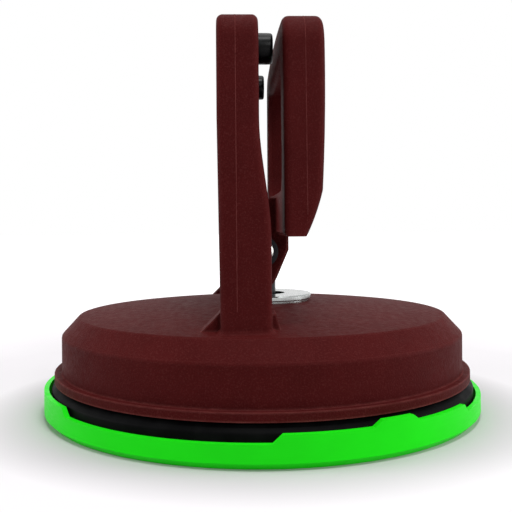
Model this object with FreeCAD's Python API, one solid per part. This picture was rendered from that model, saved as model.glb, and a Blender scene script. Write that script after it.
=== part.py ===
import FreeCAD, Part
import math
import os

# Floor tile suction lifter: a rubber cup under a die-cast housing with a fixed grip, and a cam
# lever that draws the middle of the cup upward.  All lengths are in millimetres.
# The origin is on the cup's axis, at the bottom of the protective cover.  Z is up, X runs from the
# fixed grip towards the lever, and Y runs along the grip's width.

# ---- Fits and clearances -------------------------------------------------------------------------
running_fit = 0.05          # radial, a shaft turning or sliding in its bore
soft_gap = 0.3              # between rubber and what it rests in
cam_gap = 0.15              # between the lever's cam and the wear disc
loose_fit = 0.6             # radial, a part dropped over or into another

# ---- Protective cover (a shallow tray under the cup) ---------------------------------------------
cover_play = 0.65           # radial, between the lip and the cover's wall
cover_wall = 1.3
cover_floor = 1.2
cover_corner = 1.6          # outside rounding at the foot of the wall
rim_low = 5.8
rim_raised = 7.8
rim_tab = 9.3
raised_centre_angles = (63.5, 190.25, 296.75)   # degrees, from +X towards +Y
raised_angle = 53.5
tab_centre_angle = 297.5
tab_angle = 12.0
ramp_angle = 2.0

# ---- Rubber cup ----------------------------------------------------------------------------------
lip_reach = 0.8             # lip beyond the housing's flange
lip_width = 3.2
lip_side = 6.1              # upright edge of the lip
lip_edge = 0.4
cup_rim = 8.1               # lip plane to the housing's flange
cup_rim_inset = 1.8         # from the edge of the flange
cup_spigot_height = 2.6     # shoulder that centres the cup inside the housing
cup_spigot_width = 3.4
cup_web = 3.8
cup_rise = 6.5              # how far the middle of the underside is drawn up above the lip plane
cup_hub_radius = 19.0
cup_hub_height = 5.5
web_bend = 0.72             # share of the rise that the web's outer half takes
sealing_rings = 2           # grooves in the underside, next to the lip
sealing_ring_pitch = 2.6
sealing_ring_depth = 0.7

# ---- Housing -------------------------------------------------------------------------------------
housing_radius = 57.0
flange_reach = 2.0
flange_thickness = 2.2
side_height = 10.0
shoulder_height = 5.0
shoulder_width = 4.6
crown_rise = 3.2
crown_bulge = 0.35
shoulder_round = 0.9
plateau_radius = 16.0
housing_wall = 2.8
wall_draft = 0.2            # how much further in the hollow is at the top of the side
boss_wall = 2.6
boss_drop = 4.4             # how far the boss hangs below the roof at the plateau
collar_wall = 2.0
rib_count = 8
rib_thickness = 2.0
rib_drop = 2.4

# ---- Fixed grip, cast in one with the housing ----------------------------------------------------
grip_foot_inset = 2.4       # from the edge of the crown
grip_side_lean = 3.0        # how much further in each side is at the shoulder
grip_leg = 12.0
grip_height = 75.0          # above the plateau
grip_shoulder_drop = 3.3
grip_corner = 6.5
grip_bar = 12.5
grip_opening_corner = 8.0
grip_back = -11.75
grip_back_lean = 0.65
grip_thickness = 9.9        # at the top bar
grip_flare = 2.6            # how much thicker the legs are at the foot
flare_top = 47.0            # above the plateau
flare_foot = 19.0           # above the plateau
grip_edge = 1.5
foot_fillet = 1.3
gusset_thickness = 7.0
gusset_inset = 4.5          # from the leg's outer face
back_gusset_reach = 5.2
back_gusset_height = 5.2
front_gusset_reach = 2.1
front_gusset_top = 1.1      # flat left at the top of the front gusset
front_gusset_height = 4.6

# ---- Bumpers -------------------------------------------------------------------------------------
bumper_radius = 4.0
bumper_length = 4.2
bumper_edge = 0.6
bumper_spacing = 55.0
bumper_drop = 7.5           # from the top of the grip
bumper_shank_radius = 2.2
bumper_shank = 5.0

# ---- Wear disc, washer and guide bush ------------------------------------------------------------
disc_play = 1.3             # the loose disc and washer lie this far towards the lever
washer_radius = 12.7
washer_thickness = 0.6
disc_radius = 13.3
disc_thickness = 1.5
disc_edge = 0.3
bush_wall = 1.9
bush_flange = 1.6
bush_flange_thickness = 1.2

# ---- Draw stem -----------------------------------------------------------------------------------
stem_radius = 4.2
eye_radius = 5.5
stud_radius = 2.5
stud_in_stem = 9.0
plate_radius = 18.0
plate_thickness = 2.0
lock_washer_radius = 4.6
lock_washer_thickness = 1.3
nut_across_flats = 8.0
nut_thickness = 4.0

# ---- Release spring ------------------------------------------------------------------------------
spring_wire = 1.6
spring_radius = 12.7        # to the middle of the wire
spring_half_turns = 9
wire_sides = 8
seat_thickness = 1.0
seat_collar_height = 1.4
seat_collar_wall = 0.8

# ---- Cam lever -----------------------------------------------------------------------------------
cam_closed = 12.35          # pivot to the working face, lever closed
cam_lift = 5.73             # how far the stem drops while the lever opens
lever_opening = 66.8        # degrees
pin_radius = 3.0
pin_end = 1.6               # pin beyond the cheek
groove_depth = 0.5
clip_thickness = 0.8
clip_radius = 4.4
clip_mouth = 3.4
thrust_washer = 0.6
thrust_washer_radius = 5.0
side_play = 0.1
cam_points = 8              # places that the cam's curve passes through
cheek_gap = 10.0
cheek_thickness = 6.0
cheek_back = 6.6
cheek_front = 7.4
hub_edge = 0.6
hub_clearance = 0.5
lever_half_width = 46.0
lever_side_lean = 3.0       # how much further in each side is at the shoulder
lever_leg = 11.0
lever_inner = 4.0           # X of the face towards the grip
lever_depth = 9.7
lever_outer_bulge = 0.45
lever_top = 60.6            # above the pivot
lever_shoulder_drop = 2.4
lever_corner = 8.0
lever_bottom = 4.8          # above the pivot
lever_heel = 15.8           # above the pivot, where the back starts to curve in
lever_heel_depth = 9.25
heel_round = 3.0
lever_toe_depth = 5.25
lever_heel_bulge = 0.35
lever_crossbar = 12.1
lever_bar = 10.5
lever_opening_corner = 6.0
lever_edge = 1.8

# ---- Levels and radii that follow from the sizes above -------------------------------------------
flange_radius = housing_radius + flange_reach
lip_radius = flange_radius + lip_reach
cup_rim_radius = flange_radius - cup_rim_inset
lip_inner_radius = lip_radius - lip_width
web_bend_radius = (lip_inner_radius + cup_hub_radius) / 2
cover_inner_radius = lip_radius + cover_play
cover_radius = cover_inner_radius + cover_wall
lip_z = cover_floor + soft_gap
flange_z = lip_z + cup_rim
side_foot_z = flange_z + flange_thickness
side_top_z = side_foot_z + side_height
crown_edge_z = side_top_z + shoulder_height
crown_edge_radius = housing_radius - shoulder_width
plateau_z = crown_edge_z + crown_rise
roof_z = plateau_z - housing_wall
cavity_radius = housing_radius - housing_wall

bush_bore = stem_radius + running_fit
bush_radius = bush_bore + bush_wall
boss_radius = bush_radius + boss_wall
boss_z = roof_z - boss_drop
disc_bore = stem_radius + disc_play + running_fit
disc_z = plateau_z + washer_thickness
disc_top_z = disc_z + disc_thickness
pivot_z = disc_top_z + cam_gap + cam_closed

cup_middle_z = lip_z + cup_rise
plate_z = cup_middle_z + cup_hub_height
plate_top_z = plate_z + plate_thickness
nut_z = plate_top_z + lock_washer_thickness
stem_z = nut_z + nut_thickness
stud_top_z = stem_z + stud_in_stem
seat_z = plate_top_z + seat_thickness
spring_inner = spring_radius - spring_wire / 2
spring_outer = spring_radius + spring_wire / 2
collar_inner = spring_outer + loose_fit

grip_half_width = crown_edge_radius - grip_foot_inset
grip_top_z = plateau_z + grip_height
grip_front_x = grip_back + grip_thickness
bumper_z = grip_top_z - bumper_drop
cheek_outer = cheek_gap / 2 + cheek_thickness
eye_half_width = cheek_gap / 2 - thrust_washer - side_play
opening_angle = math.radians(lever_opening)
lift_rate = cam_lift / opening_angle        # millimetres of drop per radian of lever

UP = FreeCAD.Vector(0, 0, 1)
ORIGIN = FreeCAD.Vector(0, 0, 0)
far = 200.0                 # longer than anything here, for cutting tools
tiny = 1e-6                 # shorter than this counts as nothing


# ---- Drawing helpers -----------------------------------------------------------------------------
def xz(x, z):
    return FreeCAD.Vector(x, 0, z)


def yz(y, z):
    return FreeCAD.Vector(0, y, z)


def outline(start, *moves):
    """A closed face.  A move is the end of a straight line, or (middle, end) of an arc."""
    edges = []
    here = start
    for move in moves:
        if isinstance(move, tuple):
            middle, end = move
            edges.append(Part.Arc(here, middle, end).toShape())
        else:
            end = move
            edges.append(Part.makeLine(here, end))
        here = end
    if here.distanceToPoint(start) > tiny:
        edges.append(Part.makeLine(here, start))
    return Part.Face(Part.Wire(edges))


def revolved(*points):
    """A solid of revolution about Z, from points made with xz(radius, z)."""
    return outline(*points).revolve(ORIGIN, UP, 360)


def ring(inner, outer, low, high):
    return revolved(xz(inner, low), xz(outer, low), xz(outer, high), xz(inner, high))


def disc(radius, low, high):
    return Part.makeCylinder(radius, high - low, FreeCAD.Vector(0, 0, low))


def across(face, half_width):
    """Push an XZ face out to the same distance on both sides of the middle plane."""
    face = face.copy()
    face.translate(FreeCAD.Vector(0, -half_width, 0))
    return face.extrude(FreeCAD.Vector(0, 2 * half_width, 0))


def along_x(face, low, high):
    """Push a YZ face from one X to another."""
    face = face.copy()
    face.translate(FreeCAD.Vector(low, 0, 0))
    return face.extrude(FreeCAD.Vector(high - low, 0, 0))


def turned(shape, degrees):
    shape = shape.copy()
    shape.rotate(ORIGIN, UP, degrees)
    return shape


def mirrored(shape):
    return shape.mirror(ORIGIN, FreeCAD.Vector(0, 1, 0))


def pin_along_y(radius, low, high, x=0.0, z=0.0):
    return Part.makeCylinder(radius, high - low, FreeCAD.Vector(x, low, z), FreeCAD.Vector(0, 1, 0))


def rounded(shape, radius, wanted):
    """Round the edges that the test wanted(edge) picks."""
    return shape.makeFillet(radius, [edge for edge in shape.Edges if wanted(edge)])


def arch(half_width, lean, shoulder_z, crown_z, low_z):
    """The front outline of a grip: sides that lean in under a gently arched top, in YZ."""
    top_half = half_width - lean
    return outline(yz(-half_width, low_z), yz(half_width, low_z), yz(top_half, shoulder_z),
                   (yz(0, crown_z), yz(-top_half, shoulder_z)))


def loop(outer, opening_half_width, lean, low, high, corner, opening_corner):
    """A D-shaped loop: an arched outline with a rounded window, endless along X."""
    body = along_x(outer, -far, far)
    top_corner = body.BoundBox.ZMax - 2 * corner
    body = rounded(body, corner, lambda edge: is_along_x(edge) and edge.BoundBox.ZMin > top_corner)
    top_half = opening_half_width - lean
    window = along_x(outline(yz(-opening_half_width, low), yz(opening_half_width, low),
                             yz(top_half, high), yz(-top_half, high)), -far, far)
    window = rounded(window, opening_corner, is_along_x)
    return body.cut(window)


def is_along_x(edge):
    box = edge.BoundBox
    return box.YLength < tiny and box.ZLength < tiny


# ---- Cover ---------------------------------------------------------------------------------------
def rim_segment(low, high, centre, sweep):
    """A stretch of the cover's wall with sloping ends."""
    section = outline(xz(cover_inner_radius, low), xz(cover_radius, low),
                      xz(cover_radius, high), xz(cover_inner_radius, high))
    segment = turned(section, centre - sweep / 2).revolve(ORIGIN, UP, sweep)
    slope = math.radians(ramp_angle) * cover_radius
    for side in (-1, 1):
        wedge = outline(yz(0, low), yz(-side * slope, high), yz(side * slope, high), yz(side * slope, low))
        cutter = along_x(wedge, cover_inner_radius - cover_wall, cover_radius + cover_wall)
        segment = segment.cut(turned(cutter, centre + side * sweep / 2))
    return segment


def make_cover():
    tray = revolved(xz(0, 0), xz(cover_radius - cover_corner, 0), xz(cover_radius, cover_corner),
                    xz(cover_radius, rim_low), xz(cover_inner_radius, rim_low),
                    xz(cover_inner_radius, cover_floor), xz(0, cover_floor))
    for centre in raised_centre_angles:
        tray = tray.fuse(rim_segment(rim_low, rim_raised, centre, raised_angle))
    tray = tray.fuse(rim_segment(rim_raised, rim_tab, tab_centre_angle, tab_angle))
    return tray.removeSplitter()


# ---- Rubber cup ----------------------------------------------------------------------------------
def underside_z(radius):
    """Height of the cup's underside between the lip and the bend of the web."""
    return lip_z + web_bend * cup_rise * (lip_inner_radius - radius) / (lip_inner_radius - web_bend_radius)


def make_rubber_cup():
    """The cup as it stands with its middle drawn up: lip, rim, shoulder, web and hub."""
    spigot_outer = cavity_radius - loose_fit
    spigot_inner = spigot_outer - cup_spigot_width
    spigot_z = flange_z + cup_spigot_height
    bend_z = underside_z(web_bend_radius)
    groove_half = sealing_ring_pitch / 4
    grooves = []
    for index in range(sealing_rings):
        radius = lip_inner_radius - sealing_ring_pitch * (sealing_rings - index)
        grooves += [xz(radius - groove_half, underside_z(radius - groove_half)),
                    xz(radius, underside_z(radius) + sealing_ring_depth),
                    xz(radius + groove_half, underside_z(radius + groove_half))]
    return revolved(
        xz(0, cup_middle_z), xz(web_bend_radius, bend_z), *grooves, xz(lip_inner_radius, lip_z),
        xz(lip_radius - lip_edge, lip_z), xz(lip_radius, lip_z + lip_edge), xz(lip_radius, lip_z + lip_side),
        xz(cup_rim_radius, flange_z), xz(spigot_outer, flange_z), xz(spigot_outer, spigot_z),
        xz(spigot_inner, spigot_z), xz(spigot_inner - cup_web / 2, lip_z + cup_web + cup_web / 2),
        xz(web_bend_radius, bend_z + cup_web), xz(cup_hub_radius, cup_middle_z + cup_web),
        xz(cup_hub_radius - lip_edge, plate_z), xz(0, plate_z))


# ---- Housing with its fixed grip -----------------------------------------------------------------
def shell_solid():
    """The housing's outside as a solid of revolution."""
    crown_middle = xz((crown_edge_radius + plateau_radius) / 2, (crown_edge_z + plateau_z) / 2 + crown_bulge)
    shell = revolved(
        xz(0, flange_z), xz(flange_radius, flange_z), xz(flange_radius, side_foot_z),
        xz(housing_radius, side_foot_z), xz(housing_radius, side_top_z),
        xz(crown_edge_radius, crown_edge_z), (crown_middle, xz(plateau_radius, plateau_z)),
        xz(0, plateau_z))
    return rounded(shell, shoulder_round, is_shoulder)


def is_shoulder(edge):
    """The two circles that bound the sloping shoulder."""
    box = edge.BoundBox
    outside = box.XMax > crown_edge_radius - shoulder_round
    return box.ZLength < tiny and outside and box.ZMin > side_foot_z + shoulder_round


def cavity_solid():
    """The hollow under the shell, one wall inside it."""
    shoulder_offset = housing_wall * math.tan(math.atan2(shoulder_width, shoulder_height) / 2)
    return revolved(
        xz(0, flange_z), xz(cavity_radius, flange_z),
        xz(cavity_radius - wall_draft, side_top_z - shoulder_offset),
        xz(crown_edge_radius - housing_wall, crown_edge_z - housing_wall),
        xz(plateau_radius, roof_z), xz(0, roof_z))


def casting_ribs():
    """Boss for the bush, collar round the spring, and radial ribs, all under the roof."""
    webs = ring(0, boss_radius, boss_z, roof_z)
    webs = webs.fuse(ring(collar_inner, collar_inner + collar_wall, boss_z, roof_z))
    blade = across(outline(xz(collar_inner, roof_z), xz(collar_inner, boss_z),
                           xz(crown_edge_radius - housing_wall, crown_edge_z - housing_wall - rib_drop),
                           xz(cavity_radius, side_top_z - rib_drop), xz(cavity_radius, roof_z)),
                   rib_thickness / 2)
    for index in range(rib_count):
        webs = webs.fuse(turned(blade, (index + 0.5) * 360 / rib_count))
    return webs.common(cavity_solid())


def grip_side():
    """The grip's side view: an upright back, and a front that flares out towards the foot."""
    flare_top_z = plateau_z + flare_top
    flare_foot_z = plateau_z + flare_foot
    top, foot = xz(grip_front_x, flare_top_z), xz(grip_front_x + grip_flare, flare_foot_z)
    third = (flare_top_z - flare_foot_z) / 3
    flare = Part.BezierCurve()
    flare.setPoles([top, xz(top.x, top.z - third), xz(foot.x, foot.z + third), foot])
    corners = [foot, xz(foot.x, crown_edge_z - housing_wall / 2),
               xz(grip_back + grip_back_lean, crown_edge_z - housing_wall / 2),
               xz(grip_back, flare_top_z), xz(grip_back, grip_top_z + grip_corner),
               xz(grip_front_x, grip_top_z + grip_corner), top]
    edges = [Part.makeLine(a, b) for a, b in zip(corners, corners[1:])]
    return Part.Face(Part.Wire([flare.toShape()] + edges))


def make_grip():
    foot_z = crown_edge_z - housing_wall / 2
    outer = arch(grip_half_width, grip_side_lean, grip_top_z - grip_shoulder_drop, grip_top_z, foot_z)
    window_foot = foot_z - grip_opening_corner
    body = loop(outer, grip_half_width - grip_leg, grip_side_lean, window_foot, grip_top_z - grip_bar,
                grip_corner, grip_opening_corner)
    body = body.common(across(grip_side(), far))
    body = rounded(body, grip_edge, lambda edge: is_rim(edge, foot_z))
    for side in (-1, 1):
        seat = Part.makeCylinder(bumper_shank_radius, bumper_shank + loose_fit,
                                 FreeCAD.Vector(grip_front_x, side * bumper_spacing / 2, bumper_z),
                                 FreeCAD.Vector(-1, 0, 0))
        body = body.cut(seat)
    return body


def is_rim(edge, foot_z):
    """Edges that run round the grip's front and back faces, but not across its thickness or foot."""
    above_foot = edge.BoundBox.ZMax > foot_z + grip_edge
    return above_foot and not is_along_x(edge) and not is_flare_joint(edge)


def is_flare_joint(edge):
    """The level lines on the legs where the straight and flared stretches meet."""
    box = edge.BoundBox
    return box.ZLength < tiny and box.XLength < tiny


def is_foot(edge):
    """Edges where a leg of the grip meets the crown."""
    box = edge.BoundBox
    beside_window = abs(box.Center.y) > grip_half_width - grip_leg - grip_edge
    return beside_window and crown_edge_z - shoulder_round / 2 < box.ZMin and box.ZMax < plateau_z \
        and box.XLength < grip_thickness + grip_flare and box.YLength < grip_leg


def gussets():
    """Small triangular webs at the feet, behind and in front of each leg."""
    foot_z = crown_edge_z - housing_wall / 2
    rise = crown_edge_z - foot_z
    back_x = grip_back + grip_back_lean
    front_x = grip_front_x + grip_flare
    webs = []
    for x, reach, top, height in ((back_x, -back_gusset_reach, 0, back_gusset_height),
                                  (front_x, front_gusset_reach, front_gusset_top, front_gusset_height)):
        sink = math.copysign(grip_edge, reach)
        slope = (reach - top) / height
        web = across(outline(xz(x - sink, foot_z), xz(x + reach + slope * rise, foot_z),
                             xz(x + top, crown_edge_z + height), xz(x - sink, crown_edge_z + height)),
                     gusset_thickness / 2)
        web.translate(FreeCAD.Vector(0, -grip_half_width + gusset_inset + gusset_thickness / 2, 0))
        webs += [web, mirrored(web)]
    return webs


def make_housing():
    body = shell_solid().fuse(make_grip()).removeSplitter()
    body = rounded(body, foot_fillet, is_foot)
    for web in gussets():
        body = body.fuse(web)
    body = body.removeSplitter()
    hollow = cavity_solid().cut(casting_ribs())
    body = body.cut(hollow)
    return body.cut(disc(bush_radius, flange_z, plateau_z)).removeSplitter()


# ---- Small parts on the housing ------------------------------------------------------------------
def make_bumper():
    """A rubber plug: a round head on the grip's front face, and a shank pressed into it."""
    head = Part.makeCylinder(bumper_radius, bumper_length, ORIGIN, FreeCAD.Vector(1, 0, 0))
    tip = [edge for edge in head.Edges if edge.BoundBox.XMin > bumper_length / 2]
    head = head.makeChamfer(bumper_edge, tip)
    shank = Part.makeCylinder(bumper_shank_radius, bumper_shank, ORIGIN, FreeCAD.Vector(-1, 0, 0))
    bumper = head.fuse(shank)
    bumper.translate(FreeCAD.Vector(grip_front_x, -bumper_spacing / 2, bumper_z))
    return bumper


def make_under_washer():
    washer = ring(disc_bore, washer_radius, plateau_z, disc_z)
    washer.translate(FreeCAD.Vector(disc_play, 0, 0))
    return washer


def make_wear_disc():
    rim = disc_radius - disc_edge
    plate = revolved(xz(disc_bore, disc_z), xz(rim, disc_z), xz(disc_radius, disc_z + disc_edge),
                     xz(disc_radius, disc_top_z - disc_edge), xz(rim, disc_top_z), xz(disc_bore, disc_top_z))
    plate.translate(FreeCAD.Vector(disc_play, 0, 0))
    return plate


def make_guide_bush():
    return revolved(xz(bush_bore, boss_z - bush_flange_thickness),
                    xz(bush_radius + bush_flange, boss_z - bush_flange_thickness),
                    xz(bush_radius + bush_flange, boss_z), xz(bush_radius, boss_z),
                    xz(bush_radius, plateau_z), xz(bush_bore, plateau_z))


# ---- Draw stem -----------------------------------------------------------------------------------
def make_backing_plate():
    edge = plate_thickness / 4
    return revolved(xz(stud_radius, plate_z), xz(plate_radius, plate_z), xz(plate_radius, plate_top_z - edge),
                    xz(plate_radius - edge, plate_top_z), xz(stud_radius, plate_top_z))


def make_plate_stud():
    chamfer = stud_radius / 5
    return revolved(xz(0, plate_z), xz(stud_radius, plate_z), xz(stud_radius, stud_top_z - chamfer),
                    xz(stud_radius - chamfer, stud_top_z), xz(0, stud_top_z))


def make_lock_washer():
    """A split spring washer, drawn flat."""
    washer = ring(stud_radius + running_fit, lock_washer_radius, plate_top_z, nut_z)
    split = Part.makeBox(lock_washer_radius, lock_washer_thickness / 2, far, FreeCAD.Vector(0, 0, 0))
    return washer.cut(split)


def make_lock_nut():
    corner = nut_across_flats / math.sqrt(3)
    turns = [math.radians(60 * side) for side in range(7)]
    points = [FreeCAD.Vector(corner * math.cos(turn), corner * math.sin(turn), nut_z) for turn in turns]
    hexagon = Part.Face(Part.makePolygon(points)).extrude(UP * nut_thickness)
    chamfer = corner - nut_across_flats / 2
    blank = revolved(xz(0, nut_z), xz(corner, nut_z), xz(corner, stem_z - chamfer / 2),
                     xz(corner - chamfer, stem_z), xz(0, stem_z))
    return hexagon.common(blank).cut(disc(stud_radius, 0, far))


def make_stem_eye():
    """A round stem, tapped from below, with a flat-sided eye for the lever's pin."""
    flats_z = plateau_z + washer_thickness
    rod = disc(stem_radius, stem_z, pivot_z)
    eye = pin_along_y(eye_radius, -eye_half_width, eye_half_width, z=pivot_z)
    head_corner = FreeCAD.Vector(-far / 2, -eye_half_width, flats_z)
    head_blank = Part.makeBox(far, 2 * eye_half_width, far, head_corner)
    stem = disc(stem_radius, stem_z, flats_z).fuse(rod.common(head_blank)).fuse(eye)
    stem = stem.cut(disc(stud_radius, 0, stud_top_z + loose_fit))
    return stem.cut(pin_along_y(pin_radius + running_fit, -far, far, z=pivot_z)).removeSplitter()


def make_spring_seat():
    """A pressed washer on the plate, with a collar that keeps the spring central."""
    collar_outer = spring_inner - loose_fit
    collar_inner_radius = collar_outer - seat_collar_wall
    return revolved(xz(collar_inner_radius, plate_top_z), xz(spring_outer + loose_fit, plate_top_z),
                    xz(spring_outer + loose_fit, seat_z), xz(collar_outer, seat_z),
                    xz(collar_outer, seat_z + seat_collar_height),
                    xz(collar_inner_radius, seat_z + seat_collar_height))


def make_release_spring():
    """The coil between the roof and the plate: level half turns of wire, each tilted to meet the next."""
    low = seat_z + running_fit + spring_wire / 2
    rise = (roof_z - seat_z - 2 * running_fit - spring_wire) / spring_half_turns
    section = Part.Face(Part.makePolygon([
        FreeCAD.Vector(spring_radius, 0, 0) + wire_corner(index) for index in range(wire_sides + 1)]))
    tilt = math.degrees(math.asin(rise / (2 * spring_radius)))
    coil = None
    for index in range(spring_half_turns):
        half_turn = section.revolve(ORIGIN, UP, 180)
        half_turn.rotate(ORIGIN, FreeCAD.Vector(0, 1, 0), tilt)
        half_turn = turned(half_turn, 180 * index)
        half_turn.translate(UP * (low + rise * (index + 0.5)))
        coil = coil.fuse(half_turn) if coil else half_turn
    return coil.removeSplitter()


def wire_corner(index):
    """A corner of the wire's many-sided section, from its middle."""
    angle = 2 * math.pi * (index % wire_sides + 0.5) / wire_sides
    return FreeCAD.Vector(math.cos(angle), 0, math.sin(angle)) * (spring_wire / 2)


# ---- Cam lever -----------------------------------------------------------------------------------
def from_pivot(x, z):
    return xz(x, pivot_z + z)


def cam_point(angle):
    """A point of the cam face, which lets the stem down evenly as the lever turns."""
    reach = cam_closed - lift_rate * angle
    return from_pivot(reach * math.sin(angle) - lift_rate * math.cos(angle),
                      -reach * math.cos(angle) - lift_rate * math.sin(angle))


def cheek_side():
    """Side view of the hub: cam face below, a flat land in front, and a sloping back."""
    working_face = Part.BSplineCurve()
    working_face.interpolate([cam_point(opening_angle * k / cam_points) for k in range(cam_points + 1)])
    toe, heel = cam_point(0), cam_point(opening_angle)
    land = (cheek_front - heel.x) / math.cos(opening_angle)
    land_top_z = heel.z + land * math.sin(opening_angle)
    corners = [heel, xz(cheek_front, land_top_z), from_pivot(cheek_front, lever_bottom + lever_edge),
               from_pivot(lever_inner + lever_edge, lever_bottom + lever_crossbar - lever_edge),
               from_pivot(lever_inner - lever_edge, lever_bottom + lever_crossbar - lever_edge),
               from_pivot(-cheek_back / 2, lever_bottom + lever_crossbar / 2),
               from_pivot(-cheek_back, 0), from_pivot(-cheek_back, -cam_closed + lever_edge), toe]
    edges = [Part.makeLine(a, b) for a, b in zip(corners, corners[1:])]
    return Part.Face(Part.Wire([working_face.toShape()] + edges))


def lever_side():
    """Side view of the lever: a flat inner face, a slightly bulged back and a curved heel."""
    outer_x = lever_inner + lever_depth
    top_z = lever_top + lever_corner
    return outline(
        from_pivot(lever_inner, lever_bottom + lever_edge / 2),
        from_pivot(lever_inner + lever_edge / 2, lever_bottom),
        from_pivot(lever_inner + lever_toe_depth, lever_bottom),
        (from_pivot(lever_inner + (lever_toe_depth + lever_heel_depth) / 2 + lever_heel_bulge,
                     (lever_bottom + lever_heel) / 2),
         from_pivot(lever_inner + lever_heel_depth, lever_heel)),
        (from_pivot(outer_x + lever_outer_bulge, (lever_heel + top_z) / 2), from_pivot(outer_x, top_z)),
        from_pivot(lever_inner, top_z))


def make_lever_loop():
    low_z = pivot_z + lever_bottom - lever_corner
    outer = arch(lever_half_width, lever_side_lean, pivot_z + lever_top - lever_shoulder_drop,
                 pivot_z + lever_top, low_z)
    body = loop(outer, lever_half_width - lever_leg, lever_side_lean,
                pivot_z + lever_bottom + lever_crossbar, pivot_z + lever_top - lever_bar,
                lever_corner, lever_opening_corner)
    body = body.common(across(lever_side(), far))
    body = rounded(body, heel_round, is_heel)
    return rounded(body, lever_edge, is_lever_rim)


def is_full_width(edge):
    """The level lines that cross the whole width of the lever."""
    box = edge.BoundBox
    narrowest = 2 * (lever_half_width - lever_side_lean - lever_edge)
    return box.ZLength < tiny and box.XLength < tiny and box.YLength > narrowest


def is_heel(edge):
    """The crease where the lever's straight back meets its curved heel."""
    return is_full_width(edge) and abs(edge.BoundBox.ZMax - pivot_z - lever_heel) < lever_heel_bulge


def is_lever_rim(edge):
    """Edges that run round the lever's inner and outer faces, above its toe."""
    above_toe = edge.BoundBox.ZMax > pivot_z + lever_bottom + lever_edge
    return above_toe and not is_along_x(edge) and not is_full_width(edge)


def is_hub_side(edge):
    """Straight edges of the hub's two outer faces, from the cam up to the lever's toe."""
    box = edge.BoundBox
    straight = isinstance(edge.Curve, Part.Line)
    return straight and box.YLength < tiny and box.ZMin < pivot_z + lever_bottom - tiny


def make_lever():
    hub = across(cheek_side(), cheek_outer)
    hub = hub.makeChamfer(hub_edge, [edge for edge in hub.Edges if is_hub_side(edge)])
    slot_top = pivot_z + eye_radius + hub_clearance
    slot = Part.makeBox(far, cheek_gap, far, FreeCAD.Vector(-far / 2, -cheek_gap / 2, slot_top - far))
    body = make_lever_loop().fuse(hub.cut(slot))
    return body.cut(pin_along_y(pin_radius, -far, far, z=pivot_z)).removeSplitter()


def make_pivot_pin():
    clip_inner = cheek_outer + side_play
    clip_outer = clip_inner + clip_thickness
    end = cheek_outer + pin_end
    chamfer = pin_radius / 6
    groove = pin_radius - groove_depth
    half = [xz(0, 0), xz(pin_radius, 0), xz(pin_radius, clip_inner), xz(groove, clip_inner),
            xz(groove, clip_outer), xz(pin_radius, clip_outer), xz(pin_radius, end - chamfer),
            xz(pin_radius - chamfer, end), xz(0, end)]
    pin = revolved(*half)
    pin = pin.fuse(pin.mirror(ORIGIN, UP)).removeSplitter()
    return onto_pivot(pin)


def onto_pivot(shape):
    """Lay a piece drawn about Z along the pivot, its +Z end towards -Y."""
    shape = shape.copy()
    shape.rotate(ORIGIN, FreeCAD.Vector(1, 0, 0), 90)
    shape.translate(UP * pivot_z)
    return shape


def make_pivot_clip():
    """An open retaining ring in the pin's groove."""
    low = cheek_outer + side_play
    clip = ring(pin_radius - groove_depth, clip_radius, low, low + clip_thickness)
    mouth = Part.makeBox(clip_radius, clip_mouth, far, FreeCAD.Vector(-clip_radius, -clip_mouth / 2, 0))
    return onto_pivot(clip.cut(mouth))


def make_thrust_washer():
    return onto_pivot(ring(pin_radius + running_fit, thrust_washer_radius,
                           cheek_gap / 2 - thrust_washer, cheek_gap / 2))


# ---- Every piece, written one file to a piece ----------------------------------------------------
def all_pieces():
    bumper = make_bumper()
    clip = make_pivot_clip()
    washer = make_thrust_washer()
    return {
        "cover": make_cover(),
        "rubber_cup": make_rubber_cup(),
        "housing": make_housing(),
        "bumper_near": bumper,
        "bumper_far": mirrored(bumper),
        "under_washer": make_under_washer(),
        "wear_disc": make_wear_disc(),
        "guide_bush": make_guide_bush(),
        "release_spring": make_release_spring(),
        "spring_seat": make_spring_seat(),
        "backing_plate": make_backing_plate(),
        "plate_stud": make_plate_stud(),
        "lock_washer": make_lock_washer(),
        "lock_nut": make_lock_nut(),
        "stem_eye": make_stem_eye(),
        "lever": make_lever(),
        "pivot_pin": make_pivot_pin(),
        "pivot_clip_near": clip,
        "pivot_clip_far": mirrored(clip),
        "thrust_washer_near": washer,
        "thrust_washer_far": mirrored(washer),
    }


os.makedirs("parts", exist_ok=True)
for name, shape in all_pieces().items():
    if len(shape.Solids) == 1:
        shape = shape.Solids[0]
    shape.exportStep(f"parts/{name}.step")
    print(name, len(shape.Solids), shape.isValid(), round(shape.Volume, 1))
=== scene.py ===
import math

import bmesh
import bpy
from bpy.props import FloatProperty, FloatVectorProperty, IntProperty, PointerProperty
from mathutils import Matrix, Vector
from mathutils.bvhtree import BVHTree


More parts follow.
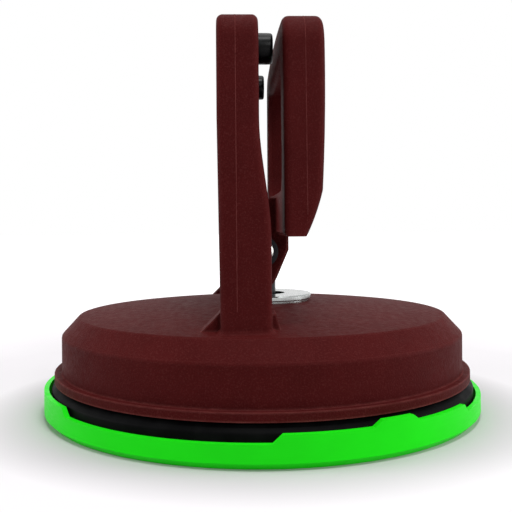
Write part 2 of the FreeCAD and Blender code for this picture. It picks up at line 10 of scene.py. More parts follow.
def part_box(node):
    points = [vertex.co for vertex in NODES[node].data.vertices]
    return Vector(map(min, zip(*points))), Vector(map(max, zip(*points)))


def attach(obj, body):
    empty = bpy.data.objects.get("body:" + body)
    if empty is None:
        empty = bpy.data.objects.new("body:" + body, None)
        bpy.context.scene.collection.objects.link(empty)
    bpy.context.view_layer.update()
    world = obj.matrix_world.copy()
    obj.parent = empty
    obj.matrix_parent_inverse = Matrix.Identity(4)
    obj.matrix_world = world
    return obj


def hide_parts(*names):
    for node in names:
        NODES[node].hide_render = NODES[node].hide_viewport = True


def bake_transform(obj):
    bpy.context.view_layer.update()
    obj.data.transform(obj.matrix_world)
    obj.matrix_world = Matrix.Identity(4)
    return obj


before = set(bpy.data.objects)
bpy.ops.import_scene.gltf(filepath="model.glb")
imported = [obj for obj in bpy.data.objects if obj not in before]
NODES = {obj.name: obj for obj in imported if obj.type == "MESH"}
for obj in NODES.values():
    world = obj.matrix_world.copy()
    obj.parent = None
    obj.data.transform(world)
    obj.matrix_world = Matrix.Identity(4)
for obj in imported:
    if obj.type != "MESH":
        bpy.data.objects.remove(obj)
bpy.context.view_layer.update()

bl_info = {
    "name": "Suction Lifter",
    "version": (1, 0, 0),
    "blender": (4, 5, 0),
    "location": "View3D > Sidebar > Lifter",
    "description": "Finishes, rubber parts and studio for a floor tile suction lifter",
    "category": "Object",
}

MM = 0.001
PREFIX = "lifter_"          # keeps these finishes apart from the frame's own plain materials
TINY = 1e-7                 # a smaller radius counts as a point on the axis

# Places and sizes that come from the frame, in metres.
CUP_LOW, CUP_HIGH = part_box("rubber_cup")
HOUSING_LOW, HOUSING_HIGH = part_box("housing")
LEVER_LOW, LEVER_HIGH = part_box("lever")
PLATE_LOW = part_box("backing_plate")[0]
DISC_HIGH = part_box("wear_disc")[1]
SPRING_LOW, SPRING_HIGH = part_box("release_spring")
BUMPER_LOW, BUMPER_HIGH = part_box("bumper_near")


# ---- Sizes and colours that a user would change ----------------------------------------------
def colour(name, description, default):
    return FloatVectorProperty(name=name, description=description, default=default,
                               size=3, min=0.0, max=1.0, subtype="COLOR")


def length(name, description, default):
    return FloatProperty(name=name, description=description, default=default,
                         min=0.0, unit="LENGTH", subtype="DISTANCE", precision=5)


def angle(name, description, degrees):
    return FloatProperty(name=name, description=description, default=math.radians(degrees),
                         subtype="ANGLE")


class LifterColours(bpy.types.PropertyGroup):
    coat: colour("Powder coat", "Maroon coat on the castings", (0.053, 0.0054, 0.0054))
    # Pale coat on edges and in specks; along the edges it is also a painted highlight, and in the
    # specks painted glints.
    pale_coat_and_highlight: colour("Coat on edges", "Where the coat runs thin on the castings' edges",
                      (0.22, 0.06, 0.056))
    cover: colour("Cover", "Green plastic of the protective cover", (0.012, 0.84, 0.008))
    scuff: colour("Scuffs", "Where handling has worn the cover", (0.03, 0.9, 0.02))
    rubber: colour("Rubber", "Black rubber of the cup", (0.002, 0.002, 0.0022))
    bloom: colour("Bloom", "Dusty bloom on the cup", (0.012, 0.012, 0.0125))
    smear: colour("Smears", "Where the lever has rubbed the bumpers", (0.02, 0.02, 0.021))
    steel: colour("Polished steel", "Wear disc and washer", (0.42, 0.44, 0.43))
    zinc: colour("Zinc plate", "Nut, plate, stud and pin", (0.6, 0.6, 0.58))
    spring: colour("Spring steel", "Release spring and lock washer", (0.3, 0.3, 0.31))
    blacking: colour("Black steel", "Stem and retaining clips", (0.018, 0.018, 0.02))
    bronze: colour("Bronze", "Guide bush", (0.5, 0.3, 0.12))
    nylon: colour("Nylon", "Thrust washers", (0.7, 0.68, 0.62))
    floor: colour("Floor", "Matt sheet that the lifter stands on", (0.56, 0.535, 0.56))


class LifterSizes(bpy.types.PropertyGroup):
    lip_width: length("Lip width", "Flat face of the cup's lip", 3.2 * MM)
    lip_side: length("Lip side", "Upright edge of the lip", 6.1 * MM)
    lip_edge: length("Lip edge", "Rounding of the lip's edges", 0.45 * MM)
    cup_rim_inset: length("Rim inset", "From the flange's edge to the cup's rim", 1.8 * MM)
    cup_split: length("Web radius", "Where the cup's web starts inside the rim", 46.0 * MM)
    cup_rise: length("Cup rise", "How far the middle of the underside stands above the lip",
                     6.5 * MM)
    web_thickness: length("Web", "Thickness of the cup's web", 3.8 * MM)
    web_slope: length("Web slope", "Width of the slope from the centring shoulder to the web",
                      2.0 * MM)
    web_fillet: length("Web fillet", "Height and rounding at that slope's foot", 1.0 * MM)
    hub_radius: length("Hub radius", "Thick middle of the cup", 19.0 * MM)
    spigot_height: length("Spigot", "Shoulder that centres the cup in the housing", 2.6 * MM)
    spigot_width: length("Spigot width", "Width of that shoulder", 3.4 * MM)
    spigot_inset: length("Spigot inset", "From the flange's edge to that shoulder", 5.4 * MM)
    groove_pitch: length("Groove pitch", "Spacing of the sealing grooves next to the lip",
                         2.6 * MM)
    groove_depth: length("Groove depth", "Depth of the sealing grooves", 0.7 * MM)
    groove_edge: length("Groove edge", "Rounding of the sealing grooves", 0.2 * MM)
    spring_wire: length("Spring wire", "Diameter of the release spring's wire", 1.6 * MM)
    spring_turns: FloatProperty(name="Spring turns", description="Turns of the release spring",
                                default=4.5, min=1.0)
    shank_radius: length("Shank radius", "Radius of a bumper's shank", 2.2 * MM)
    shank_length: length("Shank length", "How deep a bumper's shank sits in the grip", 5.0 * MM)
    dimple_depth: length("Dimple", "Depth of the dimple in a bumper's end", 0.25 * MM)
    seam_height: length("Parting line", "How far a parting line stands out", 0.09 * MM)
    seam_width: length("Parting line width", "Width of a parting line at its foot", 0.42 * MM)
    grip_seam_x: length("Grip seam", "How far behind the axis the grip's parting line runs",
                        7.3 * MM)
    grip_seam_foot: angle("Grip seam foot", "Direction of the parting line's ends from its middle",
                          -36)
    lever_seam_x: length("Lever seam", "How far in front of the axis the lever's parting line runs",
                         9.4 * MM)
    lever_seam_foot: angle("Lever seam foot",
                           "Direction of the parting line's ends from its middle", -30)
    lever_seam_rise: length("Lever seam middle",
                            "How far the seam's middle is above the lever's own", 12.0 * MM)
    lathe_steps: IntProperty(name="Lathe steps", description="Facets round a turned piece",
                             default=192, min=24)


class LifterStage(bpy.types.PropertyGroup):
    camera: FloatVectorProperty(name="Camera", description="Place of the camera", unit="LENGTH",
                                default=(-0.00787, -0.21786, 0.0529))
    aim: FloatVectorProperty(name="Aim", description="Direction that the camera looks in",
                             default=(0.0297, 0.9996, 0.0))
    roll: angle("Roll", "Turn of the camera about its line of sight", -0.46)
    lens: FloatProperty(name="Lens", description="Focal length in millimetres", default=51.96)
    shift: FloatVectorProperty(name="Shift", description="Framing, as a share of the width",
                               size=2, default=(0.0, -0.0664))
    floor_size: length("Floor", "Width of the floor", 6.0)
    # The first fade keeps plain white off the floor close to the lifter: a painted shadow round its
    # foot, strongest inside the fade's start.
    painted_shadow_fade_start: length("Near fade", "Radius where the floor's first fade to white starts",
                       63.5 * MM)
    painted_shadow_fade_end: length("Near fade end", "Radius where the first fade ends", 82.0 * MM)
    white_beyond_painted_shadow: FloatProperty(name="Near white", description="Plain white that the first fade adds",
                              default=0.38)
    far_start: length("Far fade", "Radius where the floor's second fade to white starts",
                      120.0 * MM)
    far_end: length("Far fade end", "Radius where the second fade ends", 500.0 * MM)
    far_white: FloatProperty(name="Far white", description="Plain white that the second fade adds",
                             default=0.8)
    world_light: FloatProperty(name="World light", default=0.12,
                               description="Strength of the dim studio all round")


# Each soft light's name, place, the point that it faces, its width and height, and its watts.
LIGHTS = (
    ("top_light", (0.05, 0.10, 0.70), (0, 0, 0.03), (0.5, 0.4), 1.1),
    ("high_light", (0.04, -0.22, 0.68), (0, -0.05, 0.03), (0.22, 0.1), 2.1),
    ("left_light", (-0.62, -0.02, 0.22), (0, 0, 0.05), (0.25, 0.6), 2.2),
    ("right_light", (0.62, -0.02, 0.22), (0, 0, 0.05), (0.25, 0.6), 2.2),
    ("front_light", (0.30, -0.80, 0.50), (0, 0, 0.03), (0.4, 0.3), 3.0),
    ("back_light", (0.0, 0.90, 0.30), (0, 0, 0.03), (1.2, 0.3), 0.05),
)


# ---- Material recipes --------------------------------------------------------------------------
class Recipe:
    """A material's node tree, with short calls for the nodes that the finishes share."""

    def __init__(self, name, base, roughness, metallic=0.0):
        self.material = bpy.data.materials.new(PREFIX + name)
        self.material.use_nodes = True
        self.tree = self.material.node_tree
        self.shader = self.tree.nodes["Principled BSDF"]
        self.tone = (*base, 1.0)
        self.set("Base Color", self.tone)
        self.set("Roughness", roughness)
        self.set("Metallic", metallic)
        self.place = self.node("ShaderNodeTexCoord").outputs["Object"]
        self.height = None

    def set(self, socket, value):
        self.shader.inputs[socket].default_value = value

    def node(self, kind, inputs=(), **settings):
        """Add a node; inputs maps a socket's name or number to a value or to another's output."""
        item = self.tree.nodes.new(kind)
        for key, value in settings.items():
            setattr(item, key, value)
        for key, value in dict(inputs).items():
            if isinstance(value, bpy.types.NodeSocket):
                self.tree.links.new(value, item.inputs[key])
            else:
                item.inputs[key].default_value = value
        return item

    def feed(self, socket, output):
        self.tree.links.new(output, self.shader.inputs[socket])

    def math(self, operation, first, second):
        item = self.node("ShaderNodeMath", {0: first, 1: second}, operation=operation)
        return item.outputs[0]

    def noise(self, size, detail=2.0, stretch=(1.0, 1.0, 1.0)):
        """Noise from 0 to 1 whose blotches are about size across, in metres."""
        where = self.node("ShaderNodeMapping", {"Vector": self.place, "Scale": stretch}).outputs[0]
        item = self.node("ShaderNodeTexNoise", {"Vector": where, "Scale": 1.0 / size,
                                                "Detail": detail})
        return item.outputs["Fac"]

    def rings(self, pitch):
        """Fine rings round the Z axis, about a pitch apart."""
        flat = self.node("ShaderNodeMapping", {"Vector": self.place, "Scale": (1, 1, 0)})
        item = self.node("ShaderNodeTexWave", {"Vector": flat.outputs[0], "Scale": 0.3 / pitch,
                                               "Distortion": 0.6, "Detail": 2.0},
                         wave_type="RINGS", rings_direction="SPHERICAL")
        return item.outputs["Fac"]

    def spread(self, factor, low, high, start=0.3, end=0.7):
        """Map a factor from start..end to low..high."""
        item = self.node("ShaderNodeMapRange", {"Value": factor, "From Min": start,
                                                "From Max": end, "To Min": low, "To Max": high})
        return item.outputs[0]

    def edges(self, radius):
        """1 on convex and concave edges within about radius, 0 on flat stretches."""
        soft = self.node("ShaderNodeBevel", {"Radius": radius}, samples=6).outputs[0]
        true = self.node("ShaderNodeNewGeometry").outputs["Normal"]
        same = self.node("ShaderNodeVectorMath", {0: soft, 1: true}, operation="DOT_PRODUCT")
        return self.spread(same.outputs["Value"], low=1.0, high=0.0, start=0.95, end=0.997)

    def tint(self, factor, colour_at_one):
        """Mix towards another colour as factor goes to 1, over any tint added before."""
        mix = self.node("ShaderNodeMix", {0: factor, 6: self.tone, 7: (*colour_at_one, 1.0)},
                        data_type="RGBA")
        self.tone = mix.outputs[2]
        self.feed("Base Color", self.tone)

    def bump(self, height, depth, strength):
        """Add relief of a real depth in metres, on top of any relief added before."""
        inputs = {"Height": height, "Distance": depth, "Strength": strength}
        if self.height is not None:
            inputs["Normal"] = self.height
        self.height = self.node("ShaderNodeBump", inputs).outputs[0]
        self.feed("Normal", self.height)


def background_rays(tree):
    """1 for what is seen straight, in gloss or through glass, 0 for light on a surface."""
    path = tree.nodes.new("ShaderNodeLightPath")
    total = path.outputs["Is Camera Ray"]
    for ray in ("Is Glossy Ray", "Is Transmission Ray"):
        either = tree.nodes.new("ShaderNodeMath")
        either.operation = "ADD"
        either.use_clamp = True
        tree.links.new(total, either.inputs[0])
        tree.links.new(path.outputs[ray], either.inputs[1])
        total = either.outputs[0]
    return total


def shade(base, factor):
    return tuple(min(1.0, channel * factor) for channel in base)


def powder_coat(colours):
    """Textured maroon powder coat: fine grain, pale specks that are partly painted glints, mottled,
    and thinner on edges, which are paler with a painted highlight.
    """
    coat = Recipe("powder_coat", colours.coat, roughness=0.4)
    coat.set("Specular IOR Level", 0.025)
    mottle = coat.noise(size=9 * MM, detail=3.0)
    speck_and_glint = coat.noise(size=0.35 * MM, detail=1.0)
    wear = coat.spread(coat.noise(size=3 * MM), low=0.2, high=0.5)
    sheen = coat.noise(size=1.6 * MM, detail=3.0)
    coat.tint(coat.spread(mottle, low=0.0, high=0.6), shade(colours.coat, 1.28))
    # Pale specks: part grain of the coat, part painted glints.
    coat.tint(coat.spread(speck_and_glint, low=0.0, high=0.13, start=0.5, end=0.75), colours.pale_coat_and_highlight)
    # Painted highlight: edges, in patches, go towards the pale edge colour; part of it stands for
    # coat run thin there.
    coat.tint(coat.math("MULTIPLY", coat.edges(radius=0.8 * MM), wear), colours.pale_coat_and_highlight)
    coat.feed("Roughness", coat.spread(sheen, low=0.5, high=0.64))
    coat.bump(coat.noise(size=0.4 * MM, detail=1.0), depth=0.14 * MM, strength=0.7)
    coat.bump(coat.noise(size=2.5 * MM), depth=0.05 * MM, strength=0.3)
    return coat.material


def cover_plastic(colours):
    """Bright moulded plastic, satin, with faint flow marks and handling scuffs."""
    plastic = Recipe("cover_plastic", colours.cover, roughness=0.34)
    plastic.set("Specular IOR Level", 0.08)
    plastic.set("Subsurface Weight", 0.08)
    plastic.set("Subsurface Radius", (2 * MM, 4 * MM, 1 * MM))
    flow = plastic.noise(size=14 * MM, detail=2.0, stretch=(1, 1, 2.5))
    scuff = plastic.noise(size=2.2 * MM, detail=6.0, stretch=(1, 1, 6))
    plastic.tint(plastic.spread(flow, low=0.0, high=0.5), shade(colours.cover, 0.86))
    plastic.tint(plastic.spread(scuff, low=0.0, high=0.22, start=0.62, end=0.8), colours.scuff)
    plastic.feed("Roughness", plastic.spread(scuff, low=0.3, high=0.48))
    plastic.bump(plastic.noise(size=0.5 * MM), depth=0.015 * MM, strength=0.4)
    plastic.bump(flow, depth=0.12 * MM, strength=0.3)
    return plastic.material


def cup_rubber(colours):
    """Moulded black rubber with a dusty bloom and fine turning marks from its mould."""
    rubber = Recipe("cup_rubber", colours.rubber, roughness=0.5)
    rubber.set("Specular IOR Level", 0.02)
    bloom = rubber.noise(size=6 * MM, detail=5.0)
    rubber.tint(rubber.spread(bloom, low=0.0, high=0.4, start=0.45, end=0.8), colours.bloom)
    rubber.feed("Roughness", rubber.spread(bloom, low=0.4, high=0.6))
    rubber.bump(rubber.rings(pitch=0.7 * MM), depth=0.02 * MM, strength=0.3)
    rubber.bump(rubber.noise(size=0.6 * MM, detail=3.0), depth=0.03 * MM, strength=0.4)
    return rubber.material


def bumper_rubber(colours):
    """Glossier rubber of the bumpers."""
    rubber = Recipe("bumper_rubber", shade(colours.rubber, 0.8), roughness=0.26)
    rubber.set("Specular IOR Level", 0.1)
    smear = rubber.noise(size=2.5 * MM, detail=4.0)
    rubber.tint(rubber.spread(smear, low=0.0, high=0.4, start=0.5, end=0.8), colours.smear)
    rubber.feed("Roughness", rubber.spread(smear, low=0.2, high=0.38))
    rubber.bump(smear, depth=0.04 * MM, strength=0.35)
    return rubber.material


def polished_steel(colours):
    """Turned and polished steel: fine rings, small scratches, light finger haze."""
    steel = Recipe("polished_steel", colours.steel, roughness=0.14, metallic=1.0)
    haze = steel.noise(size=4 * MM, detail=4.0)
    scratch = steel.noise(size=1.2 * MM, detail=6.0, stretch=(8, 1, 1))
    steel.tint(steel.spread(haze, low=0.0, high=0.5), shade(colours.steel, 0.82))
    steel.feed("Roughness", steel.spread(scratch, low=0.1, high=0.26))
    steel.bump(steel.rings(pitch=0.25 * MM), depth=0.006 * MM, strength=0.5)
    steel.bump(scratch, depth=0.008 * MM, strength=0.4)
    return steel.material


def plain_metal(name, base, roughness):
    """Zinc-plated, blackened or bare metal, by its colour, a little cloudy."""
    metal = Recipe(name, base, roughness, metallic=1.0)
    cloud = metal.noise(size=3 * MM, detail=4.0)
    metal.tint(metal.spread(cloud, low=0.0, high=0.6), shade(base, 0.72))
    metal.feed("Roughness", metal.spread(cloud, low=roughness - 0.06, high=roughness + 0.12))
    metal.bump(metal.noise(size=0.4 * MM, detail=3.0), depth=0.012 * MM, strength=0.5)
    return metal.material


def nylon(colours):
    """Natural nylon, a little translucent, with a moulded grain."""
    plastic = Recipe("nylon", colours.nylon, roughness=0.45)
    plastic.set("Subsurface Weight", 0.1)
    plastic.set("Subsurface Radius", (1 * MM, 1 * MM, 0.8 * MM))
    cloud = plastic.noise(size=2 * MM)
    plastic.tint(plastic.spread(cloud, low=0.0, high=0.4), shade(colours.nylon, 0.86))
    plastic.bump(plastic.noise(size=0.3 * MM), depth=0.01 * MM, strength=0.5)
    return plastic.material


def finish_of(name):
    """The named finish, made the first time that it is asked for."""
    made = bpy.data.materials.get(PREFIX + name)
    if made:
        return made
    colours = bpy.context.scene.lifter_colours
    makers = {
        "powder_coat": lambda: powder_coat(colours),
        "cover_plastic": lambda: cover_plastic(colours),
        "cup_rubber": lambda: cup_rubber(colours),
        "bumper_rubber": lambda: bumper_rubber(colours),
        "polished_steel": lambda: polished_steel(colours),
        "plated_steel": lambda: plain_metal("plated_steel", colours.zinc, 0.3),
        "spring_steel": lambda: plain_metal("spring_steel", colours.spring, 0.28),
        "black_steel": lambda: plain_metal("black_steel", colours.blacking, 0.34),
        "bush_bronze": lambda: plain_metal("bush_bronze", colours.bronze, 0.36),
        "nylon": lambda: nylon(colours),
    }
    return makers[name]()


def dress(node, finish):
    """Give a CAD node one of the finishes."""
    mesh = NODES[node].data
    mesh.materials.clear()
    mesh.materials.append(finish_of(finish))


# ---- Mesh helpers ------------------------------------------------------------------------------
def new_piece(name, mesh, body, finish):
    """A shown piece that rides on a CAD body, or on none when body is empty."""
    piece = bpy.data.objects.new(name, mesh)
    bpy.context.collection.objects.link(piece)
    mesh.materials.append(finish_of(finish))
    if body:
        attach(piece, body)
    return piece


def softened(corners, steps=4, most=0.45):
    """A closed outline of (radius, height) with its corners rounded; each is (r, z, rounding).

    A rounding takes at most a share of each of the two edges that meet in its corner.
    """
    outline = []
    count = len(corners)
    for index, (r, z, rounding) in enumerate(corners):
        here = Vector((r, z))
        before = Vector(corners[index - 1][:2]) - here
        after = Vector(corners[(index + 1) % count][:2]) - here
        reach = min(rounding, before.length * most, after.length * most)
        if reach <= 0:
            outline.append(here)
            continue
        start = here + before.normalized() * reach
        end = here + after.normalized() * reach
        for step in range(steps + 1):
            t = step / steps
            outline.append(start.lerp(here, t).lerp(here.lerp(end, t), t))
    return outline


def lathe(name, outline, axis_point=Vector(), axis=Vector((0, 0, 1)), steps=None):
    """Turn a closed outline of (radius, height) about an axis."""
    steps = steps or bpy.context.scene.lifter_sizes.lathe_steps
    turn = Vector((0, 0, 1)).rotation_difference(axis).to_matrix()
    build = bmesh.new()
    poles = {}
    rings = []
    for index, (r, z) in enumerate(outline):
        if r < TINY:
            poles[index] = build.verts.new(axis_point + turn @ Vector((0, 0, z)))
            rings.append([poles[index]] * steps)
            continue
        turns = [2 * math.pi * step / steps for step in range(steps)]
        places = [Vector((r * math.cos(a), r * math.sin(a), z)) for a in turns]
        rings.append([build.verts.new(axis_point + turn @ place) for place in places])
    for index in range(len(rings)):
        low, high = rings[index - 1], rings[index]
        for step in range(steps):
            corner = [low[step], low[(step + 1) % steps], high[(step + 1) % steps], high[step]]
            unique = list(dict.fromkeys(corner))
            if len(unique) > 2:
                build.faces.new(unique)
    return finished_mesh(name, build)


def finished_mesh(name, build, sharp=math.radians(40)):
    """Close a bmesh into a mesh: normals out, smooth, with its hard edges marked."""
    bmesh.ops.recalc_face_normals(build, faces=build.faces)
    mesh = bpy.data.meshes.new(name)
    build.to_mesh(mesh)
    build.free()
    mesh.shade_smooth()
    mesh.set_sharp_from_angle(angle=sharp)
    return mesh


def helix(name, radius, wire, low, high, turns, steps_round=12, steps_turn=48, closing=0.35):
    """A round-wire coil about Z; closing sets how much closer its end turns lie."""
    build = bmesh.new()
    total = int(turns * steps_turn)
    rings = []
    for step in range(total + 1):
        t = step / total
        turn = 2 * math.pi * turns * t
        rise = closing * t * t * (3 - 2 * t) + (1 - closing) * t
        out = Vector((math.cos(turn), math.sin(turn), 0))
        centre = out * radius + Vector((0, 0, low + (high - low) * rise))
        rings.append([build.verts.new(centre + wire / 2 * (out * math.cos(a)
                                                           + Vector((0, 0, math.sin(a)))))
                      for a in (2 * math.pi * k / steps_round for k in range(steps_round))])
    for first, second in zip(rings, rings[1:]):
        for k in range(steps_round):
            after = (k + 1) % steps_round
            build.faces.new([first[k], first[after], second[after], second[k]])
    build.faces.new(rings[0])
    build.faces.new(rings[-1])
    return finished_mesh(name, build)


def seam_line(name, node, x, centre, foot, steps):
    """A parting line: a thin ridge over a casting's outside at one X.

    It runs over the top from one foot to the other, which is the direction of its ends seen
    from its centre.
    """
    sizes = bpy.context.scene.lifter_sizes
    surface = BVHTree.FromObject(NODES[node], bpy.context.evaluated_depsgraph_get())
    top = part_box(node)[1].z
    middle = Vector((x, centre.y, centre.z))
    side = Vector((sizes.seam_width / 2, 0, 0))
    outside = 0.2           # metres, farther out than any casting
    build = bmesh.new()
    rows = []
    for step in range(steps + 1):
        turn = foot + (math.pi - 2 * foot) * step / steps
        out = Vector((0, math.cos(turn), math.sin(turn)))
        hit, normal, _, _ = surface.ray_cast(middle + out * outside, -out)
        if hit is None:
            raise RuntimeError(f"{name}: no surface on {node} at step {step}")
        height = min(sizes.seam_height, max(0.0, top - hit.z))
        base = hit - normal * sizes.seam_height
        rows.append([build.verts.new(base - side), build.verts.new(hit + normal * height),
                     build.verts.new(base + side)])
    for first, second in zip(rows, rows[1:]):
        for k in range(3):
            after = (k + 1) % 3
            build.faces.new([first[k], first[after], second[after], second[k]])
    build.faces.new(rows[0])
    build.faces.new(rows[-1])
    return new_piece(name, finished_mesh(name, build), node, "powder_coat")


# ---- Operators: one for each piece or group, and one for the stage ---------------------------
class LIFTER_OT_castings(bpy.types.Operator):
    """Powder coat on the housing and the lever, with their parting lines"""
    bl_idname = "lifter.castings"
    bl_label = "Castings"

    def execute(self, context):
        sizes = context.scene.lifter_sizes
        dress("housing", "powder_coat")
        dress("lever", "powder_coat")
        middle = Vector((0, 0, (DISC_HIGH.z + HOUSING_HIGH.z) / 2))
        seam_line("grip_parting_line", "housing", -sizes.grip_seam_x, middle,
                  sizes.grip_seam_foot, steps=260)
        middle = (LEVER_LOW + LEVER_HIGH) / 2 + Vector((0, 0, sizes.lever_seam_rise))
        seam_line("lever_parting_line", "lever", sizes.lever_seam_x, middle,
                  sizes.lever_seam_foot, steps=220)
        return {"FINISHED"}


class LIFTER_OT_cover(bpy.types.Operator):
    """Green plastic on the protective cover"""
    bl_idname = "lifter.cover"
    bl_label = "Cover"

    def execute(self, context):
        dress("cover", "cover_plastic")
        return {"FINISHED"}


class LIFTER_OT_cup(bpy.types.Operator):
    """The rubber cup: its lip and rim on the housing, and its web drawn up by the stem"""
    bl_idname = "lifter.cup"
    bl_label = "Rubber cup"

    def execute(self, context):
        sizes = context.scene.lifter_sizes
        lip_z, lip_radius = CUP_LOW.z, CUP_HIGH.x
        flange_z, flange_radius = HOUSING_LOW.z, HOUSING_HIGH.x
        inner = lip_radius - sizes.lip_width
        spigot = flange_radius - sizes.spigot_inset
        split = sizes.cup_split
        spigot_z = flange_z + sizes.spigot_height
        spigot_inner = spigot - sizes.spigot_width
        rise = self.underside(split)
        web_z = rise + sizes.web_thickness
        edge = sizes.lip_edge
        outline = softened([
            (inner, lip_z, edge), (lip_radius, lip_z, edge),
            (lip_radius, lip_z + sizes.lip_side, edge),
            (flange_radius - sizes.cup_rim_inset, flange_z, edge),
            (spigot, flange_z, 0), (spigot, spigot_z, edge), (spigot_inner, spigot_z, edge),
            (spigot_inner - sizes.web_slope, web_z + sizes.web_fillet, sizes.web_fillet),
            (split, web_z, 0), (split, rise, 0),
            *self.grooves(sizes, inner)])
        lip = new_piece("cup_lip", lathe("cup_lip", outline), "housing", "cup_rubber")
        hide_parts("rubber_cup")
        mesh = lathe("cup_web", self.web_outline(sizes))
        web = new_piece("cup_web", mesh, "", "cup_rubber")
        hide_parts("rubber_cup")
        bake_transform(web)
        return {"FINISHED"}

    @staticmethod
    def underside(radius):
        """Height of the cup's hollow underside at a radius, drawn up in the middle."""
        sizes = bpy.context.scene.lifter_sizes
        inner = CUP_HIGH.x - sizes.lip_width
        bowl = 3            # a higher power keeps the middle flatter
        return CUP_LOW.z + sizes.cup_rise * (1 - min(1.0, radius / inner) ** bowl)

    def grooves(self, sizes, inner, count=2):
        """Corners of the sealing grooves, from the web out to the lip."""
        half, edge = sizes.groove_pitch / 4, sizes.groove_edge
        corners = []
        for index in range(count):
            middle = inner - sizes.groove_pitch * (count - index)
            corners += [(middle - half, self.underside(middle - half), edge),
                        (middle, self.underside(middle) + sizes.groove_depth, edge),
                        (middle + half, self.underside(middle + half), edge)]
        return corners

    def web_outline(self, sizes, steps=18):
        """Outline of the web and hub: out along the underside, and back along the top."""
        split, hub = sizes.cup_split, sizes.hub_radius
        outwards = (split * step / steps for step in range(steps + 1))
        inwards = (split + (hub - split) * step / steps for step in range(steps + 1))
        below = [Vector((r, self.underside(r))) for r in outwards]
        above = [Vector((r, self.underside(r) + sizes.web_thickness)) for r in inwards]
        return below + above + [Vector((hub, PLATE_LOW.z)), Vector((0, PLATE_LOW.z))]


class LIFTER_OT_bumpers(bpy.types.Operator):
    """The two rubber bumpers on the grip"""
    bl_idname = "lifter.bumpers"
    bl_label = "Bumpers"

    def execute(self, context):
        sizes = context.scene.lifter_sizes
        head = (BUMPER_HIGH.z - BUMPER_LOW.z) / 2
        seat = BUMPER_LOW.x + sizes.shank_length
        shank, deep = sizes.shank_radius, -sizes.shank_length
        end = BUMPER_HIGH.x - seat
        dimple = end - sizes.dimple_depth
        tip, brim, bottom = head * 0.975, head * 0.5, head * 0.44       # radii at the head's end
        taper = end * 0.62                                              # where the head narrows
        outline = softened([
            (0, deep, 0), (shank, deep, 0.4 * MM), (shank, 0, 0),
            (head, 0, 0.25 * MM), (head, taper, 0.6 * MM), (tip, end, 0.9 * MM),
            (brim, end, 0.4 * MM), (bottom, dimple, 0.3 * MM), (0, dimple, 0)], steps=5)
        for name in ("bumper_near", "bumper_far"):
            low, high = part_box(name)
            centre = Vector((seat, (low.y + high.y) / 2, (low.z + high.z) / 2))
            mesh = lathe(f"{name}_rubber", outline, centre, Vector((1, 0, 0)), steps=72)
            piece = new_piece(f"{name}_rubber", mesh, "housing", "bumper_rubber")
            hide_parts(name)
        return {"FINISHED"}


class LIFTER_OT_disc(bpy.types.Operator):
    """Polished wear disc, the washer under it and the bush below"""
    bl_idname = "lifter.disc"
    bl_label = "Wear disc"

    def execute(self, context):
        dress("wear_disc", "polished_steel")
        dress("under_washer", "polished_steel")
        dress("guide_bush", "bush_bronze")
        return {"FINISHED"}


class LIFTER_OT_spring(bpy.types.Operator):
    """The release spring, as a fixed coil; the real spring stretches as the stem goes down"""
    bl_idname = "lifter.spring"
    bl_label = "Release spring"

    def execute(self, context):
        sizes = context.scene.lifter_sizes
        wire = sizes.spring_wire
        radius = SPRING_HIGH.x - wire / 2
        mesh = helix("coil", radius, wire, SPRING_LOW.z + wire / 2, SPRING_HIGH.z - wire / 2,
                     sizes.spring_turns)
        coil = new_piece("coil", mesh, "", "spring_steel")
        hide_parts("release_spring")
        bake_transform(coil)
        return {"FINISHED"}


class LIFTER_OT_draw_gear(bpy.types.Operator):
    """Stem, plate, stud, nut and washers that draw the cup up"""
    bl_idname = "lifter.draw_gear"
    bl_label = "Draw gear"

    def execute(self, context):
        for node in ("plate_stud", "backing_plate", "lock_nut", "spring_seat"):
            dress(node, "plated_steel")
        dress("stem_eye", "black_steel")
        dress("lock_washer", "spring_steel")
        return {"FINISHED"}


class LIFTER_OT_pivot(bpy.types.Operator):
    """Pivot pin, its clips and the thrust washers"""
    bl_idname = "lifter.pivot"
    bl_label = "Pivot"

    def execute(self, context):
        dress("pivot_pin", "plated_steel")
        for side in ("near", "far"):
            dress(f"pivot_clip_{side}", "black_steel")
            dress(f"thrust_washer_{side}", "nylon")
        return {"FINISHED"}


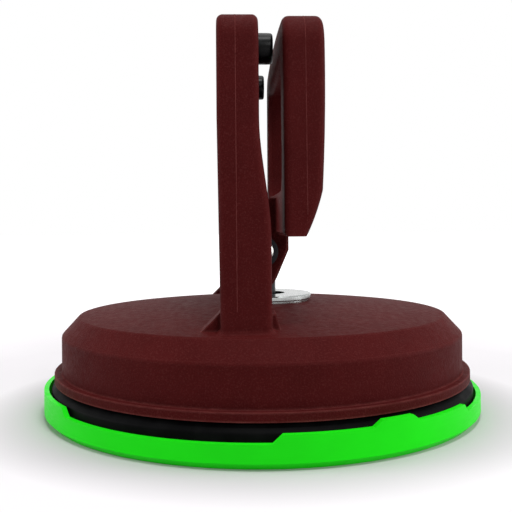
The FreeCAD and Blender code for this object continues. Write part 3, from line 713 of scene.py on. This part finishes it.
class LIFTER_OT_stage(bpy.types.Operator):
    """Floor, studio light and camera"""
    bl_idname = "lifter.stage"
    bl_label = "Stage"

    def execute(self, context):
        stage = context.scene.lifter_stage
        self.floor(stage)
        self.world(context.scene, stage)
        for light in LIGHTS:
            self.softbox(*light)
        self.camera(context.scene, stage)
        context.scene.view_settings.view_transform = "Standard"
        return {"FINISHED"}

    @staticmethod
    def floor(stage):
        """A matt white sheet that takes the lifter's shadow, has a painted shadow round the
        lifter's foot, and fades to plain white around it.
        """
        half = stage.floor_size / 2
        mesh = bpy.data.meshes.new("floor")
        corners = [(-half, -half, 0), (half, -half, 0), (half, half, 0), (-half, half, 0)]
        mesh.from_pydata(corners, [], [(0, 1, 2, 3)])
        floor = bpy.data.objects.new("floor", mesh)
        bpy.context.collection.objects.link(floor)
        sheet = Recipe("floor_white", bpy.context.scene.lifter_colours.floor, roughness=0.9)
        sheet.set("Specular IOR Level", 0.0)
        away = sheet.node("ShaderNodeVectorMath", {0: sheet.place}, operation="LENGTH")
        away = away.outputs["Value"]
        # Painted shadow: close to the lifter the floor gets less plain white, so it is darker round
        # its foot.
        near = sheet.spread(away, 0.0, stage.white_beyond_painted_shadow, stage.painted_shadow_fade_start, stage.painted_shadow_fade_end)
        far = sheet.spread(away, 0.0, stage.far_white, stage.far_start, stage.far_end)
        white = sheet.math("ADD", near, far)
        sheet.set("Emission Color", (1, 1, 1, 1))
        sheet.feed("Emission Strength", sheet.math("MULTIPLY", background_rays(sheet.tree), white))
        mesh.materials.append(sheet.material)

    @staticmethod
    def world(scene, stage):
        """Plain white to look at and in reflections, a dim grey studio to light the lifter."""
        world = bpy.data.worlds.new("studio")
        scene.world = world
        world.use_nodes = True
        tree = world.node_tree
        tree.nodes.clear()
        strength = tree.nodes.new("ShaderNodeMapRange")
        strength.inputs["To Min"].default_value = stage.world_light
        strength.inputs["To Max"].default_value = 1.0
        background = tree.nodes.new("ShaderNodeBackground")
        background.inputs["Color"].default_value = (1, 1, 1, 1)
        out = tree.nodes.new("ShaderNodeOutputWorld")
        tree.links.new(background_rays(tree), strength.inputs["Value"])
        tree.links.new(strength.outputs[0], background.inputs["Strength"])
        tree.links.new(background.outputs[0], out.inputs[0])

    @staticmethod
    def softbox(name, place, target, size, watts):
        lamp = bpy.data.lights.new(name, "AREA")
        lamp.shape = "RECTANGLE"
        lamp.size, lamp.size_y = size
        lamp.energy = watts
        light = bpy.data.objects.new(name, lamp)
        bpy.context.collection.objects.link(light)
        light.location = place
        light.rotation_mode = "QUATERNION"
        light.rotation_quaternion = (Vector(target) - Vector(place)).to_track_quat("-Z", "Y")

    @staticmethod
    def camera(scene, stage):
        lens = bpy.data.cameras.new("camera")
        lens.lens = stage.lens
        lens.shift_x, lens.shift_y = stage.shift
        lens.clip_start, lens.clip_end = 0.01, 50.0
        camera = bpy.data.objects.new("camera", lens)
        bpy.context.collection.objects.link(camera)
        turn = Vector(stage.aim).to_track_quat("-Z", "Y").to_matrix().to_4x4()
        roll = Matrix.Rotation(stage.roll, 4, "Z")
        camera.matrix_world = Matrix.Translation(stage.camera) @ turn @ roll
        scene.camera = camera


class LIFTER_PT_panel(bpy.types.Panel):
    """Lists the operators that dress the lifter"""
    bl_idname = "LIFTER_PT_panel"
    bl_label = "Suction Lifter"
    bl_space_type = "VIEW_3D"
    bl_region_type = "UI"
    bl_category = "Lifter"

    def draw(self, context):
        for operator in OPERATORS:
            self.layout.operator(operator.bl_idname)


GROUPS = (LifterColours, LifterSizes, LifterStage)
OPERATORS = (LIFTER_OT_stage, LIFTER_OT_castings, LIFTER_OT_cover, LIFTER_OT_cup, LIFTER_OT_bumpers,
             LIFTER_OT_disc, LIFTER_OT_spring, LIFTER_OT_draw_gear, LIFTER_OT_pivot)


def register():
    for kind in (*GROUPS, *OPERATORS, LIFTER_PT_panel):
        bpy.utils.register_class(kind)
    bpy.types.Scene.lifter_colours = PointerProperty(type=LifterColours)
    bpy.types.Scene.lifter_sizes = PointerProperty(type=LifterSizes)
    bpy.types.Scene.lifter_stage = PointerProperty(type=LifterStage)


def unregister():
    del bpy.types.Scene.lifter_stage
    del bpy.types.Scene.lifter_sizes
    del bpy.types.Scene.lifter_colours
    for kind in reversed((*GROUPS, *OPERATORS, LIFTER_PT_panel)):
        bpy.utils.unregister_class(kind)


def main():
    register()
    for operator in OPERATORS:
        group, name = operator.bl_idname.split(".")
        getattr(getattr(bpy.ops, group), name)()


if __name__ == "__main__":
    main()
